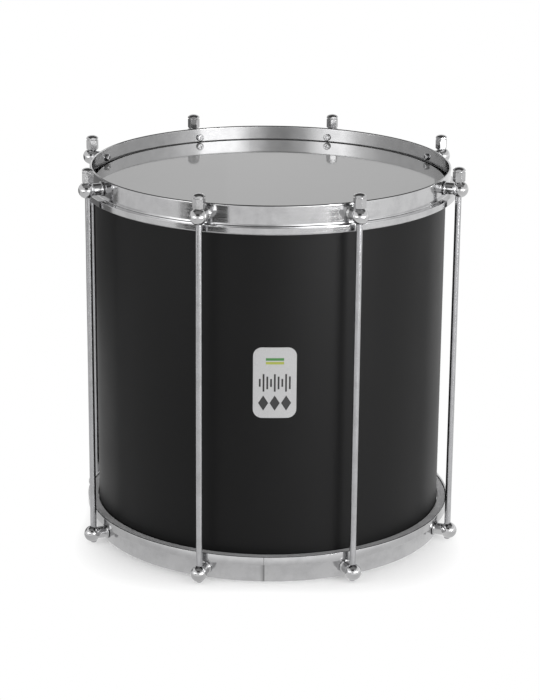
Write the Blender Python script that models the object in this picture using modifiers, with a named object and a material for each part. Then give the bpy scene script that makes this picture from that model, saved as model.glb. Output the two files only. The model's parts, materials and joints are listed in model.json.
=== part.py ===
"""Repinique: a two-headed samba drum with eight tension rods, 12 inches wide and 30 cm deep.

Metres, +Z up. The origin is at the middle of the bottom rim, Z is the drum's axis, and -Y is the
front, midway between two rods. The batter end is the top. The resonant end is the same parts
turned over.
"""

import math

import bmesh
import bpy
from mathutils import Matrix, Vector

# Shell
SHELL_DIAMETER = 0.3048
SHELL_LENGTH = 0.300
SHELL_WALL = 0.006
BEARING_EDGE_ROUND = 0.0015

# Heads: plastic film held in an aluminium flesh hoop
FILM_THICKNESS = 0.00025
FLESH_HOOP_WIDTH = 0.007
FLESH_HOOP_HEIGHT = 0.0043
FILM_END_SHORT = 0.0008

# Counter hoops: rolled steel, a flat band with a shoulder and skirt over the flesh hoop
HOOP_STRIP = 0.0018
BAND_HEIGHT = 0.0171
BAND_CLEARANCE = 0.00165
INNER_BEND = 0.0017
SKIRT_LENGTH = 0.0017
HEAD_RECESS = 0.0127
RIM_CHAMFER = 0.0004
COVE_ROUND = 0.0012

# Lugs: turned steel, a flange, a barrel and a ball that the rod runs through
LUG_COUNT = 8
FLANGE_RADIUS = 0.0062
FLANGE_THICKNESS = 0.0014
BARREL_RADIUS = 0.0051
LUG_REACH = 0.0123
BALL_RADIUS = 0.0072
BALL_OFFSET = 0.0013
SEAT_CUT = 0.0013
SPOT_FACE_RADIUS = 0.0060

# Tension rods: steel, screwed into the lower lugs, free in the upper ones
ROD_RADIUS = 0.0027
ROD_TIP_PROUD = 0.0010
ROD_END_ROUND = 0.0010

# Tuning nuts: tall capped hexagons on the rods' top ends
NUT_ACROSS_FLATS = 0.0094
NUT_HEIGHT = 0.0129
NUT_CROWN = 0.0025
NUT_TOP_CHAMFER = 0.0014
NUT_FOOT_CHAMFER = 0.0012
NUT_GROOVE_DROP = 0.0036
NUT_GROOVE_WIDTH = 0.0008
NUT_GROOVE_DEPTH = 0.0003
NUT_REST_TURNS = (-7, 12, -7, 3, 8, -24, 11, -2)

# Lug screws: pan heads inside the hoop, shanks in the lugs' bases
SCREW_RADIUS = 0.0019
SCREW_BITE = 0.0055
SCREW_HEAD_RADIUS = 0.0032
SCREW_HEAD_HEIGHT = 0.0019
SCREW_HEAD_EDGE = 0.0009
SCREW_CROWN_RADIUS = 0.0019

# Clearances
FIT_GAP = 0.0003
BORE_SPARE = 0.0005

# Facets
RING_STEPS = 48
LUG_STEPS = 12
ROD_STEPS = 10
SCREW_STEPS = 8
ENVELOPE_STEPS = 12
SHARP_ANGLE = math.radians(32)

# Worked out from the sizes above
HALF_FACET = math.pi / RING_STEPS
SHELL_RADIUS = SHELL_DIAMETER / 2
FILM_INNER_RADIUS = SHELL_RADIUS + FIT_GAP
FILM_OUTER_RADIUS = FILM_INNER_RADIUS + FILM_THICKNESS
FLESH_INNER_RADIUS = FILM_OUTER_RADIUS + FIT_GAP
FLESH_OUTER_RADIUS = FLESH_INNER_RADIUS + FLESH_HOOP_WIDTH
BAND_INNER_RADIUS = FILM_OUTER_RADIUS + BAND_CLEARANCE
BAND_OUTER_RADIUS = BAND_INNER_RADIUS + HOOP_STRIP
SKIRT_INNER_RADIUS = FLESH_OUTER_RADIUS + FIT_GAP
SKIRT_OUTER_RADIUS = SKIRT_INNER_RADIUS + HOOP_STRIP
SHOULDER_ROUND = INNER_BEND + HOOP_STRIP
FLESH_HOOP_ROUND = INNER_BEND - FIT_GAP
LUG_DEPTH = BAND_HEIGHT / 2
LUG_BASE_RADIUS = BAND_OUTER_RADIUS + FIT_GAP
ROD_CIRCLE_RADIUS = LUG_BASE_RADIUS + LUG_REACH
SEAT_HEIGHT = BALL_RADIUS - SEAT_CUT
SHELL_END_DEPTH = HEAD_RECESS + FILM_THICKNESS + FIT_GAP
OVERALL_HEIGHT = SHELL_LENGTH + 2 * SHELL_END_DEPTH
FLESH_TOP_DEPTH = BAND_HEIGHT + HOOP_STRIP + FIT_GAP
FLESH_FOOT_DEPTH = FLESH_TOP_DEPTH + FLESH_HOOP_HEIGHT
SCREW_SEAT_RADIUS = BAND_INNER_RADIUS - FIT_GAP - SCREW_HEAD_RADIUS * math.tan(HALF_FACET)
NUT_FOOT_HEIGHT = OVERALL_HEIGHT - LUG_DEPTH + SEAT_HEIGHT + FIT_GAP
NUT_BORE_DEPTH = NUT_HEIGHT - NUT_CROWN
ROD_TOP = NUT_FOOT_HEIGHT + NUT_BORE_DEPTH - BORE_SPARE
ROD_FOOT = LUG_DEPTH - BALL_RADIUS - ROD_TIP_PROUD


def remove_everything():
    """Empty the scene of objects, meshes and materials."""
    for item in list(bpy.data.objects):
        bpy.data.objects.remove(item, do_unlink=True)
    for mesh in list(bpy.data.meshes):
        bpy.data.meshes.remove(mesh)
    for material in list(bpy.data.materials):
        bpy.data.materials.remove(material)


def make_collection(name):
    """Add a collection to the scene."""
    group = bpy.data.collections.new(name)
    bpy.context.scene.collection.children.link(group)
    return group


def make_finish(name, colour, roughness, metallic):
    """Make a plain Principled material."""
    material = bpy.data.materials.new(name)
    material.use_nodes = True
    shader = material.node_tree.nodes["Principled BSDF"]
    shader.inputs["Base Color"].default_value = (*colour, 1.0)
    shader.inputs["Roughness"].default_value = roughness
    shader.inputs["Metallic"].default_value = metallic
    return material


def arc(centre_r, centre_z, radius, start, end, count):
    """Points of an arc in the profile plane, from start to end in degrees."""
    points = []
    for index in range(count + 1):
        angle = math.radians(start + (end - start) * index / count)
        points.append((centre_r + radius * math.cos(angle), centre_z + radius * math.sin(angle)))
    return points


def clear_bore(radius, steps):
    """Radius of a faceted bore that clears a round bar of this radius by the fit gap."""
    return (radius + FIT_GAP) / math.cos(math.pi / steps)


def add_turned(name, points, steps, group, closed):
    """Add a Screw-modified profile. Its points run down the outer side, top to bottom."""
    mesh = bpy.data.meshes.new(name)
    edges = [(index, index + 1) for index in range(len(points) - 1)]
    if closed:
        edges.append((len(points) - 1, 0))
    mesh.from_pydata([(r, 0.0, z) for r, z in points], edges, [])
    item = bpy.data.objects.new(name, mesh)
    group.objects.link(item)
    screw = item.modifiers.new("Turn", "SCREW")
    screw.axis = "Z"
    screw.angle = 2 * math.pi
    screw.steps = steps
    screw.render_steps = steps
    screw.use_merge_vertices = True
    screw.merge_threshold = 0.00001
    return item


def add_cylinders(name, group, radius, length, steps, frames):
    """Add one mesh of cylinders, each centred on a frame and lying along its Z."""
    solid = bmesh.new()
    for frame in frames:
        bmesh.ops.create_cone(
            solid,
            cap_ends=True,
            segments=steps,
            radius1=radius,
            radius2=radius,
            depth=length,
            matrix=frame,
        )
    mesh = bpy.data.meshes.new(name)
    solid.to_mesh(mesh)
    solid.free()
    item = bpy.data.objects.new(name, mesh)
    group.objects.link(item)
    return item


def hide_cutter(item):
    """Mark a cutter, which isn't a part."""
    item.hide_render = True
    item.display_type = "WIRE"


def cut(item, cutter, operation="DIFFERENCE"):
    """Add an exact Boolean to a piece."""
    boolean = item.modifiers.new(cutter.name, "BOOLEAN")
    boolean.operation = operation
    boolean.solver = "EXACT"
    boolean.object = cutter
    hide_cutter(cutter)


def settle(item):
    """Turn a piece's modifiers into its mesh, shaded smooth with sharp corners."""
    graph = bpy.context.evaluated_depsgraph_get()
    mesh = bpy.data.meshes.new_from_object(item.evaluated_get(graph))
    mesh.name = item.name
    item.modifiers.clear()
    item.data = mesh
    mesh.shade_smooth()
    mesh.set_sharp_from_angle(angle=SHARP_ANGLE)
    return mesh


def dress(item, finish):
    """Give a piece its finish."""
    item.data.materials.clear()
    item.data.materials.append(finish)


def add_copy(name, mesh, group, parent, frame):
    """Add an object that shares a mesh, placed by a matrix under its parent."""
    item = bpy.data.objects.new(name, mesh)
    group.objects.link(item)
    item.parent = parent
    item.matrix_local = frame
    return item


def add_empty(name, group, frame):
    """Add an empty that carries one end of the drum."""
    item = bpy.data.objects.new(name, None)
    group.objects.link(item)
    item.matrix_world = frame
    return item


def station_azimuth(number):
    """Direction of a rod, counted from the front right, anticlockwise from above."""
    spacing = 2 * math.pi / LUG_COUNT
    return -math.pi / 2 + spacing / 2 + spacing * (number - 1)


def radial_frame(azimuth, radius, height):
    """Frame on a radius: Z points outward, Y up."""
    outward = Vector((math.cos(azimuth), math.sin(azimuth), 0.0))
    up = Vector((0.0, 0.0, 1.0))
    across = up.cross(outward)
    frame = Matrix((across, up, outward)).transposed().to_4x4()
    frame.translation = outward * radius + up * height
    return frame


def upright_frame(azimuth, radius, height):
    """Frame on a radius that stands upright."""
    return Matrix.Translation(
        (radius * math.cos(azimuth), radius * math.sin(azimuth), height)
    )


def shell_profile():
    """Section of the shell about its middle, with a rounded and bevelled edge at both ends."""
    half = SHELL_LENGTH / 2
    outer = SHELL_RADIUS
    inner = outer - SHELL_WALL
    crown = outer - BEARING_EDGE_ROUND
    bevel = crown - inner
    top = arc(crown, half - BEARING_EDGE_ROUND, BEARING_EDGE_ROUND, 90, 0, 2)
    foot = arc(crown, BEARING_EDGE_ROUND - half, BEARING_EDGE_ROUND, 0, -90, 2)
    return top + foot + [(inner, bevel - half), (inner, half - bevel)]


def film_profile():
    """Section of a head's film: a flat disc, a rounded corner and a collar down the shell."""
    outside = BEARING_EDGE_ROUND + FIT_GAP + FILM_THICKNESS
    inside = BEARING_EDGE_ROUND + FIT_GAP
    crown = FILM_OUTER_RADIUS - outside
    centre = -HEAD_RECESS - outside
    end = -FLESH_FOOT_DEPTH + FILM_END_SHORT
    outer_side = arc(crown, centre, outside, 90, 0, 2)
    inner_side = arc(crown, centre, inside, 0, 90, 2)
    return (
        [(0.0, -HEAD_RECESS)]
        + outer_side
        + [(FILM_OUTER_RADIUS, end), (FILM_INNER_RADIUS, end)]
        + inner_side
        + [(0.0, -HEAD_RECESS - FILM_THICKNESS)]
    )


def flesh_hoop_profile():
    """Section of a flesh hoop, rounded where the counter hoop's shoulder bears on it."""
    top = -FLESH_TOP_DEPTH
    foot = -FLESH_FOOT_DEPTH
    corner = FLESH_OUTER_RADIUS - FLESH_HOOP_ROUND
    return [
        (FLESH_INNER_RADIUS, top),
        *arc(corner, top - FLESH_HOOP_ROUND, FLESH_HOOP_ROUND, 90, 0, 2),
        (FLESH_OUTER_RADIUS, foot),
        (FLESH_INNER_RADIUS, foot),
    ]


def hoop_profile():
    """Section of a counter hoop, rim at zero: band, shoulder and skirt of one strip."""
    shoulder = SKIRT_OUTER_RADIUS - SHOULDER_ROUND
    skirt_top = -BAND_HEIGHT - SHOULDER_ROUND
    foot = skirt_top - SKIRT_LENGTH
    cove = arc(BAND_OUTER_RADIUS + COVE_ROUND, COVE_ROUND - BAND_HEIGHT, COVE_ROUND, 180, 270, 1)
    return [
        (BAND_INNER_RADIUS + RIM_CHAMFER, 0.0),
        (BAND_OUTER_RADIUS - RIM_CHAMFER, 0.0),
        (BAND_OUTER_RADIUS, -RIM_CHAMFER),
        *cove,
        *arc(shoulder, skirt_top, SHOULDER_ROUND, 90, 0, 3),
        (SKIRT_OUTER_RADIUS, foot),
        (SKIRT_INNER_RADIUS, foot),
        *arc(shoulder, skirt_top, INNER_BEND, 0, 90, 2),
        (BAND_INNER_RADIUS, -BAND_HEIGHT - HOOP_STRIP),
        (BAND_INNER_RADIUS, -RIM_CHAMFER),
    ]


def lug_profile():
    """Section of a lug along its axis, from the ball's tip down to the flange."""
    ball = LUG_REACH + BALL_OFFSET
    neck = math.degrees(math.asin(BARREL_RADIUS / BALL_RADIUS))
    return [
        *arc(0.0, ball, BALL_RADIUS, 90, neck - 90, 4),
        (BARREL_RADIUS, FLANGE_THICKNESS),
        (FLANGE_RADIUS, FLANGE_THICKNESS),
        (FLANGE_RADIUS, 0.0),
        (0.0, 0.0),
    ]


def rod_profile():
    """Section of a tension rod, rounded at its foot and chamfered at its top."""
    return [
        (0.0, ROD_TOP),
        (ROD_RADIUS - ROD_END_ROUND, ROD_TOP),
        (ROD_RADIUS, ROD_TOP - ROD_END_ROUND),
        (ROD_RADIUS, ROD_FOOT + ROD_END_ROUND),
        (ROD_RADIUS - ROD_END_ROUND, ROD_FOOT),
        (0.0, ROD_FOOT),
    ]


def nut_envelope_profile():
    """Section that trims the nut's hexagon: chamfered crown, groove and chamfered foot."""
    corner = NUT_ACROSS_FLATS / 2 / math.cos(math.pi / 6)
    beyond = (corner + FIT_GAP) / math.cos(math.pi / ENVELOPE_STEPS)
    flat = NUT_ACROSS_FLATS / 2
    crown = flat - NUT_TOP_CHAMFER / 2
    foot = flat - NUT_FOOT_CHAMFER / 2
    groove = flat - NUT_GROOVE_DEPTH
    groove_top = NUT_HEIGHT - NUT_GROOVE_DROP + NUT_GROOVE_WIDTH / 2
    groove_foot = groove_top - NUT_GROOVE_WIDTH
    return [
        (0.0, NUT_HEIGHT),
        (crown, NUT_HEIGHT),
        (beyond, NUT_HEIGHT - (beyond - crown)),
        (beyond, groove_top + (beyond - groove) / 2),
        (groove, groove_top),
        (groove, groove_foot),
        (beyond, groove_foot - (beyond - groove) / 2),
        (beyond, (beyond - foot) / 2),
        (foot, 0.0),
        (0.0, 0.0),
    ]


def screw_profile():
    """Section of a lug screw: shank outward, pan head inward, seat at zero."""
    length = LUG_BASE_RADIUS - SCREW_SEAT_RADIUS + SCREW_BITE
    return [
        (0.0, length),
        (SCREW_RADIUS, length),
        (SCREW_RADIUS, 0.0),
        (SCREW_HEAD_RADIUS, 0.0),
        (SCREW_HEAD_RADIUS, -SCREW_HEAD_EDGE),
        (SCREW_CROWN_RADIUS, -SCREW_HEAD_HEIGHT),
        (0.0, -SCREW_HEAD_HEIGHT),
    ]


def build_shell(parts, finish):
    """The shell, standing on the resonant head."""
    shell = add_turned("shell", shell_profile(), RING_STEPS, parts, closed=True)
    shell.location.z = OVERALL_HEIGHT / 2
    settle(shell)
    dress(shell, finish)


def hoop_mesh(parts, cutters):
    """One counter hoop with its ring of screw holes, as a mesh that both ends share."""
    hoop = add_turned("top_hoop", hoop_profile(), RING_STEPS, parts, closed=True)
    middle = (BAND_INNER_RADIUS + BAND_OUTER_RADIUS) / 2
    frames = [
        radial_frame(station_azimuth(number), middle, -LUG_DEPTH)
        for number in range(1, LUG_COUNT + 1)
    ]
    holes = add_cylinders(
        "hoop_screw_holes",
        cutters,
        clear_bore(SCREW_RADIUS, SCREW_STEPS),
        HOOP_STRIP * 4,
        SCREW_STEPS,
        frames,
    )
    cut(hoop, holes)
    mesh = settle(hoop)
    bpy.data.objects.remove(hoop)
    return mesh


def lug_mesh(parts, cutters):
    """One lug: rod bore through the ball, flat seat for the nut, blind hole for the screw."""
    lug = add_turned("lug", lug_profile(), LUG_STEPS, parts, closed=False)
    bore = add_cylinders(
        "lug_rod_bore",
        cutters,
        clear_bore(ROD_RADIUS, ROD_STEPS),
        BALL_RADIUS * 4,
        ROD_STEPS,
        [Matrix.Translation((0.0, 0.0, LUG_REACH)) @ Matrix.Rotation(math.pi / 2, 4, "X")],
    )
    seat_middle = SEAT_HEIGHT + BALL_RADIUS
    seat = add_cylinders(
        "lug_nut_seat",
        cutters,
        SPOT_FACE_RADIUS + BALL_OFFSET,
        BALL_RADIUS * 2,
        LUG_STEPS,
        [
            Matrix.Translation((0.0, seat_middle, LUG_REACH + BALL_OFFSET))
            @ Matrix.Rotation(math.pi / 2, 4, "X")
        ],
    )
    blind_depth = SCREW_BITE + BORE_SPARE
    blind = add_cylinders(
        "lug_screw_hole",
        cutters,
        clear_bore(SCREW_RADIUS, SCREW_STEPS),
        blind_depth * 2,
        SCREW_STEPS,
        [Matrix.Identity(4)],
    )
    for cutter in (bore, seat, blind):
        cut(lug, cutter)
    mesh = settle(lug)
    bpy.data.objects.remove(lug)
    return mesh


def nut_mesh(parts, cutters):
    """One tuning nut: a hexagon trimmed by a turned envelope, with a blind bore from below."""
    corner = NUT_ACROSS_FLATS / 2 / math.cos(math.pi / 6)
    middle = Matrix.Translation((0.0, 0.0, NUT_HEIGHT / 2))
    nut = add_cylinders("nut", parts, corner, NUT_HEIGHT + 2 * FIT_GAP, 6, [middle])
    envelope = add_turned("nut_envelope", nut_envelope_profile(), ENVELOPE_STEPS, cutters, closed=False)
    bore = add_cylinders(
        "nut_bore",
        cutters,
        clear_bore(ROD_RADIUS, ROD_STEPS),
        NUT_BORE_DEPTH * 2,
        ROD_STEPS,
        [Matrix.Identity(4)],
    )
    cut(nut, envelope, "INTERSECT")
    cut(nut, bore)
    mesh = settle(nut)
    bpy.data.objects.remove(nut)
    return mesh


def build_end(side, head, end, meshes, finishes, parts):
    """One end of the drum: film, flesh hoop, counter hoop, lugs and screws, rim at the empty."""
    film = add_turned(f"{head}_head_film", film_profile(), RING_STEPS, parts, closed=False)
    flesh = add_turned(f"{head}_flesh_hoop", flesh_hoop_profile(), RING_STEPS, parts, closed=True)
    for item, finish in ((film, "film"), (flesh, "aluminium")):
        item.parent = end
        settle(item)
        dress(item, finishes[finish])
    add_copy(f"{side}_hoop", meshes["hoop"], parts, end, Matrix.Identity(4))
    turned_over = -1 if side == "bottom" else 1
    for number in range(1, LUG_COUNT + 1):
        azimuth = turned_over * station_azimuth(number)
        add_copy(
            f"{side}_lug_{number}",
            meshes["lug"],
            parts,
            end,
            radial_frame(azimuth, LUG_BASE_RADIUS, -LUG_DEPTH),
        )
        add_copy(
            f"{side}_lug_screw_{number}",
            meshes["screw"],
            parts,
            end,
            radial_frame(azimuth, SCREW_SEAT_RADIUS, -LUG_DEPTH),
        )


def build_rods(meshes, parts):
    """The tension rods and the tuning nuts on their top ends."""
    for number in range(1, LUG_COUNT + 1):
        azimuth = station_azimuth(number)
        rest_turn = math.radians(NUT_REST_TURNS[(number - 1) % len(NUT_REST_TURNS)])
        add_copy(
            f"tension_rod_{number}",
            meshes["rod"],
            parts,
            None,
            upright_frame(azimuth, ROD_CIRCLE_RADIUS, 0.0),
        )
        add_copy(
            f"tuning_nut_{number}",
            meshes["nut"],
            parts,
            None,
            upright_frame(azimuth, ROD_CIRCLE_RADIUS, NUT_FOOT_HEIGHT)
            @ Matrix.Rotation(azimuth + rest_turn, 4, "Z"),
        )


def turned_mesh(name, points, steps, parts):
    """Mesh of a turned piece that several objects share."""
    item = add_turned(name, points, steps, parts, closed=False)
    mesh = settle(item)
    bpy.data.objects.remove(item)
    return mesh


def main():
    """Build the drum."""
    remove_everything()
    parts = make_collection("repinique")
    cutters = make_collection("cutters")
    finishes = {
        "shell": make_finish("black_lacquer", (0.018, 0.018, 0.020), 0.42, 0.0),
        "film": make_finish("clear_grey_film", (0.42, 0.42, 0.42), 0.12, 0.0),
        "aluminium": make_finish("flesh_hoop_aluminium", (0.55, 0.55, 0.56), 0.35, 1.0),
        "hoop": make_finish("hoop_chrome", (0.75, 0.75, 0.76), 0.16, 1.0),
        "lug": make_finish("lug_chrome", (0.78, 0.78, 0.79), 0.08, 1.0),
        "rod": make_finish("rod_zinc", (0.62, 0.62, 0.64), 0.22, 1.0),
        "nut": make_finish("nut_chrome", (0.70, 0.70, 0.71), 0.14, 1.0),
        "screw": make_finish("screw_zinc", (0.55, 0.55, 0.56), 0.30, 1.0),
    }
    meshes = {
        "hoop": hoop_mesh(parts, cutters),
        "lug": lug_mesh(parts, cutters),
        "nut": nut_mesh(parts, cutters),
        "rod": turned_mesh("tension_rod", rod_profile(), ROD_STEPS, parts),
        "screw": turned_mesh("lug_screw", screw_profile(), SCREW_STEPS, parts),
    }
    for name, mesh in meshes.items():
        mesh.materials.clear()
        mesh.materials.append(finishes[name])
    build_shell(parts, finishes["shell"])
    top_end = add_empty("batter_end", parts, Matrix.Translation((0.0, 0.0, OVERALL_HEIGHT)))
    bottom_end = add_empty("resonant_end", parts, Matrix.Rotation(math.pi, 4, "X"))
    build_end("top", "batter", top_end, meshes, finishes, parts)
    build_end("bottom", "resonant", bottom_end, meshes, finishes, parts)
    build_rods(meshes, parts)


main()
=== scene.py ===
"""The looks of a samba repinique: black shell, clear heads, chromed hoops and tuning hardware.

Every length is in metres and every angle field in degrees, unless its class says otherwise. +Z is
the drum's axis, -Y its front. Each class is one sub-assembly, and its fields are the sizes a maker
would change.
"""

from __future__ import annotations

import json
import logging
import math
from collections.abc import Callable, Mapping, Sequence
from dataclasses import dataclass, replace
from enum import Enum

import bmesh
import bpy
import numpy as np
from mathutils import Matrix, Vector


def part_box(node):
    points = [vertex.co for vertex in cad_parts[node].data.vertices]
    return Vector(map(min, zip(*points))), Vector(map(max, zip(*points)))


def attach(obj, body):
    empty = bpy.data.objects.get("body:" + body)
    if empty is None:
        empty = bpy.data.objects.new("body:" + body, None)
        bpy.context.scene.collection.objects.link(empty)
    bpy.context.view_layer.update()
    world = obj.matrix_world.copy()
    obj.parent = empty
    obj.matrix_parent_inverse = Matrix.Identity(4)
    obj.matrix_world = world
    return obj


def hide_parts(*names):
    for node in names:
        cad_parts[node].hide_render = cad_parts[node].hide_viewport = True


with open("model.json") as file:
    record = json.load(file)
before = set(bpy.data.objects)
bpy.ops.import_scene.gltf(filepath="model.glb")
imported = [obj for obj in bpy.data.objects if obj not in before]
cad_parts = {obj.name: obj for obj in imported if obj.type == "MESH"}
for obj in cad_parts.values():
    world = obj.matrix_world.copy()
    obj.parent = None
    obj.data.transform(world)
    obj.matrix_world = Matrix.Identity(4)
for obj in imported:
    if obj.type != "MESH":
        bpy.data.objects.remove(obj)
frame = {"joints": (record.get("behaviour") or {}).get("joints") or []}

LOG = logging.getLogger("repinique")
SHARP_ANGLE = math.radians(34)
OWN_PLACE = "own_place"
# Beside each round a point this far away keeps the flat faces' shading flat.
GUARD = 0.0005
# A round takes at most this share of an edge, so that two rounds never meet.
HALF_EDGE = 0.499
NEARLY_ZERO = 1e-7
# Cutters reach this far past what they cut.
BEYOND = 0.001
WHITE = (1.0, 1.0, 1.0, 1.0)
IN_PLACE = Matrix.Identity(4)

Colour = tuple[float, float, float]
Point = tuple[float, float]
Corner = tuple[float, float, float]
Cutter = tuple[bpy.types.Mesh, Matrix, str]


class End(Enum):
    """The two ends of the drum."""

    TOP = 1
    BOTTOM = -1

    @property
    def side(self) -> str:
        """Name of this end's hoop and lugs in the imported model."""
        return self.name.lower()

    @property
    def head(self) -> str:
        """Name of this end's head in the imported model."""
        return "batter" if self is End.TOP else "resonant"

    @property
    def body(self) -> str:
        """Body that this end's hoop, lugs and screws ride on."""
        return "batter_hoop" if self is End.TOP else "drum"


class Grain(Enum):
    """Direction of the fine marks that working a metal leaves."""

    ROUND = "round"
    ALONG = "along"


@dataclass(frozen=True)
class Cloud:
    """A noise: scale per metre, number of finer layers, and how strong they are."""

    scale: float
    detail: float
    roughness: float = 0.5


class NodeBench:
    """A node tree, with short calls that add nodes and feed their inputs."""

    def __init__(self, tree: bpy.types.NodeTree) -> None:
        """Work on a node tree."""
        self.tree = tree

    def feed(self, target: bpy.types.NodeSocket, value: object) -> None:
        """Link a socket to an input, or set a plain value on it.

        Args:
            target: The input.
            value: A socket or a value.
        """
        if isinstance(value, bpy.types.NodeSocket):
            self.tree.links.new(value, target)
        else:
            target.default_value = value

    def add(
        self, kind: str, inputs: Mapping[int | str, object] | None = None, **settings: object
    ) -> bpy.types.Node:
        """Add a node.

        Args:
            kind: Blender's name for the node type.
            inputs: Sockets or values, by the input's number or name.
            settings: Attributes to set on the node.

        Returns:
            The new node.
        """
        node = self.tree.nodes.new(kind)
        for key, value in settings.items():
            setattr(node, key, value)
        for key, value in (inputs or {}).items():
            self.feed(node.inputs[key], value)
        return node

    def math(self, operation: str, first: object, second: object = 0.0) -> bpy.types.NodeSocket:
        """Result of a Math node on two sockets or numbers."""
        return self.add("ShaderNodeMath", {0: first, 1: second}, operation=operation).outputs[0]

    def product(self, first: object, *others: object) -> bpy.types.NodeSocket:
        """Multiply sockets or numbers.

        Args:
            first: A socket or a number.
            others: More of them.

        Returns:
            The product's socket.
        """
        for other in others:
            first = self.math("MULTIPLY", first, other)
        return first

    def mixture(
        self, first: bpy.types.NodeSocket, second: bpy.types.NodeSocket, share: float
    ) -> bpy.types.NodeSocket:
        """Add two factors up, the second with a share and the first with the rest."""
        return self.math("ADD", self.product(first, 1.0 - share), self.product(second, share))

    def vector(self, operation: str, first: object, second: object = None) -> bpy.types.NodeSocket:
        """Do vector arithmetic.

        Args:
            operation: The Vector Math node's operation.
            first: A socket or a vector.
            second: A socket or a vector, where the operation takes two.

        Returns:
            Socket with the result, a number where the operation gives one.
        """
        inputs = {0: first} if second is None else {0: first, 1: second}
        node = self.add("ShaderNodeVectorMath", inputs, operation=operation)
        return next(socket for socket in node.outputs if socket.enabled)

    def parts(self, vector: bpy.types.NodeSocket) -> tuple[bpy.types.NodeSocket, ...]:
        """X, Y and Z of a vector."""
        return tuple(self.add("ShaderNodeSeparateXYZ", {0: vector}).outputs)

    def noise(self, vector: bpy.types.NodeSocket, cloud: Cloud) -> bpy.types.NodeSocket:
        """Add a noise texture.

        Args:
            vector: Socket that carries the coordinates.
            cloud: The noise's settings.

        Returns:
            The noise's factor socket.
        """
        inputs = {"Scale": cloud.scale, "Detail": cloud.detail, "Roughness": cloud.roughness}
        return self.add("ShaderNodeTexNoise", {"Vector": vector, **inputs}).outputs[0]

    def span(
        self, value: bpy.types.NodeSocket, low: float, high: float, start: float = 0.3, end: float = 0.7
    ) -> bpy.types.NodeSocket:
        """Map a value to a range, and hold it at the range's ends.

        Args:
            value: What is mapped. The default start and end suit a noise.
            low: Result at and below start.
            high: Result at and above end.
            start: Value that gives low.
            end: Value that gives high.

        Returns:
            The mapped value's socket.
        """
        limits = {"From Min": start, "From Max": end, "To Min": low, "To Max": high}
        return self.add("ShaderNodeMapRange", {"Value": value, **limits}).outputs["Result"]

    def blend(self, factor: bpy.types.NodeSocket, first: Colour, second: Colour) -> bpy.types.NodeSocket:
        """Mix two colours by a factor.

        Args:
            factor: Share of the second colour.
            first: Colour at zero.
            second: Colour at one.

        Returns:
            The mixed colour's socket.
        """
        node = self.add("ShaderNodeMix", {"Factor": factor}, data_type="RGBA")
        ends = [socket for socket in node.inputs if socket.type == "RGBA"]
        for socket, colour in zip(ends, (first, second)):
            socket.default_value = (*colour, 1.0)
        return next(socket for socket in node.outputs if socket.type == "RGBA")

    def ramp(
        self, value: bpy.types.NodeSocket, stops: Sequence[Point], start: float, end: float
    ) -> bpy.types.NodeSocket:
        """Look a level up in a table, with straight lines between its stops.

        Args:
            value: What the table is entered with.
            stops: Pairs of value and level.
            start: Value at the table's beginning.
            end: Value at the table's end.

        Returns:
            The level's socket.
        """
        peak = max(level for _, level in stops)
        node = self.add("ShaderNodeValToRGB", {0: self.span(value, 0.0, 1.0, start, end)})
        elements = node.color_ramp.elements
        elements.remove(elements[-1])
        for index, (point, level) in enumerate(stops):
            position = (point - start) / (end - start)
            element = elements.new(position) if index else elements[0]
            element.position = position
            element.color = (level / peak, level / peak, level / peak, 1.0)
        return self.product(node.outputs[0], peak)

    def place(self) -> bpy.types.NodeSocket:
        """Coordinates in metres in the drum's frame at rest."""
        return self.add("ShaderNodeTexCoord").outputs["Object"]

    def own_place(self) -> bpy.types.NodeSocket:
        """Coordinates in metres in the piece's own frame, before it was placed."""
        return self.add("ShaderNodeAttribute", attribute_name=OWN_PLACE).outputs["Vector"]

    def grain(self, direction: Grain, fine: float, coarse: float) -> bpy.types.NodeSocket:
        """Coordinates stretched along the marks of a metal.

        Args:
            direction: Which way the marks run.
            fine: Scale across the marks, per metre.
            coarse: Scale along the marks, per metre, or per radian for round marks.

        Returns:
            Socket with the stretched coordinates.
        """
        x, y, z = self.parts(self.own_place())
        if direction is Grain.ALONG:
            axes = ((x, fine), (y, fine), (z, coarse))
        else:
            turn = self.math("ARCTAN2", y, x)
            radius = self.math("SQRT", self.math("ADD", self.product(x, x), self.product(y, y)))
            axes = ((turn, coarse), (radius, fine), (z, fine))
        inputs = {index: self.product(*axis) for index, axis in enumerate(axes)}
        return self.add("ShaderNodeCombineXYZ", inputs).outputs[0]

    def glow(self, strength: object) -> bpy.types.NodeSocket:
        """Shader of a white glow."""
        return self.add("ShaderNodeEmission", {"Strength": strength}).outputs[0]

    def merge(self, share: object, first: object, second: object) -> bpy.types.NodeSocket:
        """Mix two shaders, the second with the share."""
        return self.add("ShaderNodeMixShader", {0: share, 1: first, 2: second}).outputs[0]

    def ray(self, kind: str) -> bpy.types.NodeSocket:
        """One of the Light Path node's outputs."""
        return self.add("ShaderNodeLightPath").outputs[kind]

    def backdrop_ray(self) -> bpy.types.NodeSocket:
        """One for camera, glossy and transmission rays, which see the white backdrop, else zero."""
        seen = self.math("MAXIMUM", self.ray("Is Camera Ray"), self.ray("Is Glossy Ray"))
        return self.math("MAXIMUM", seen, self.ray("Is Transmission Ray"))


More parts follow.
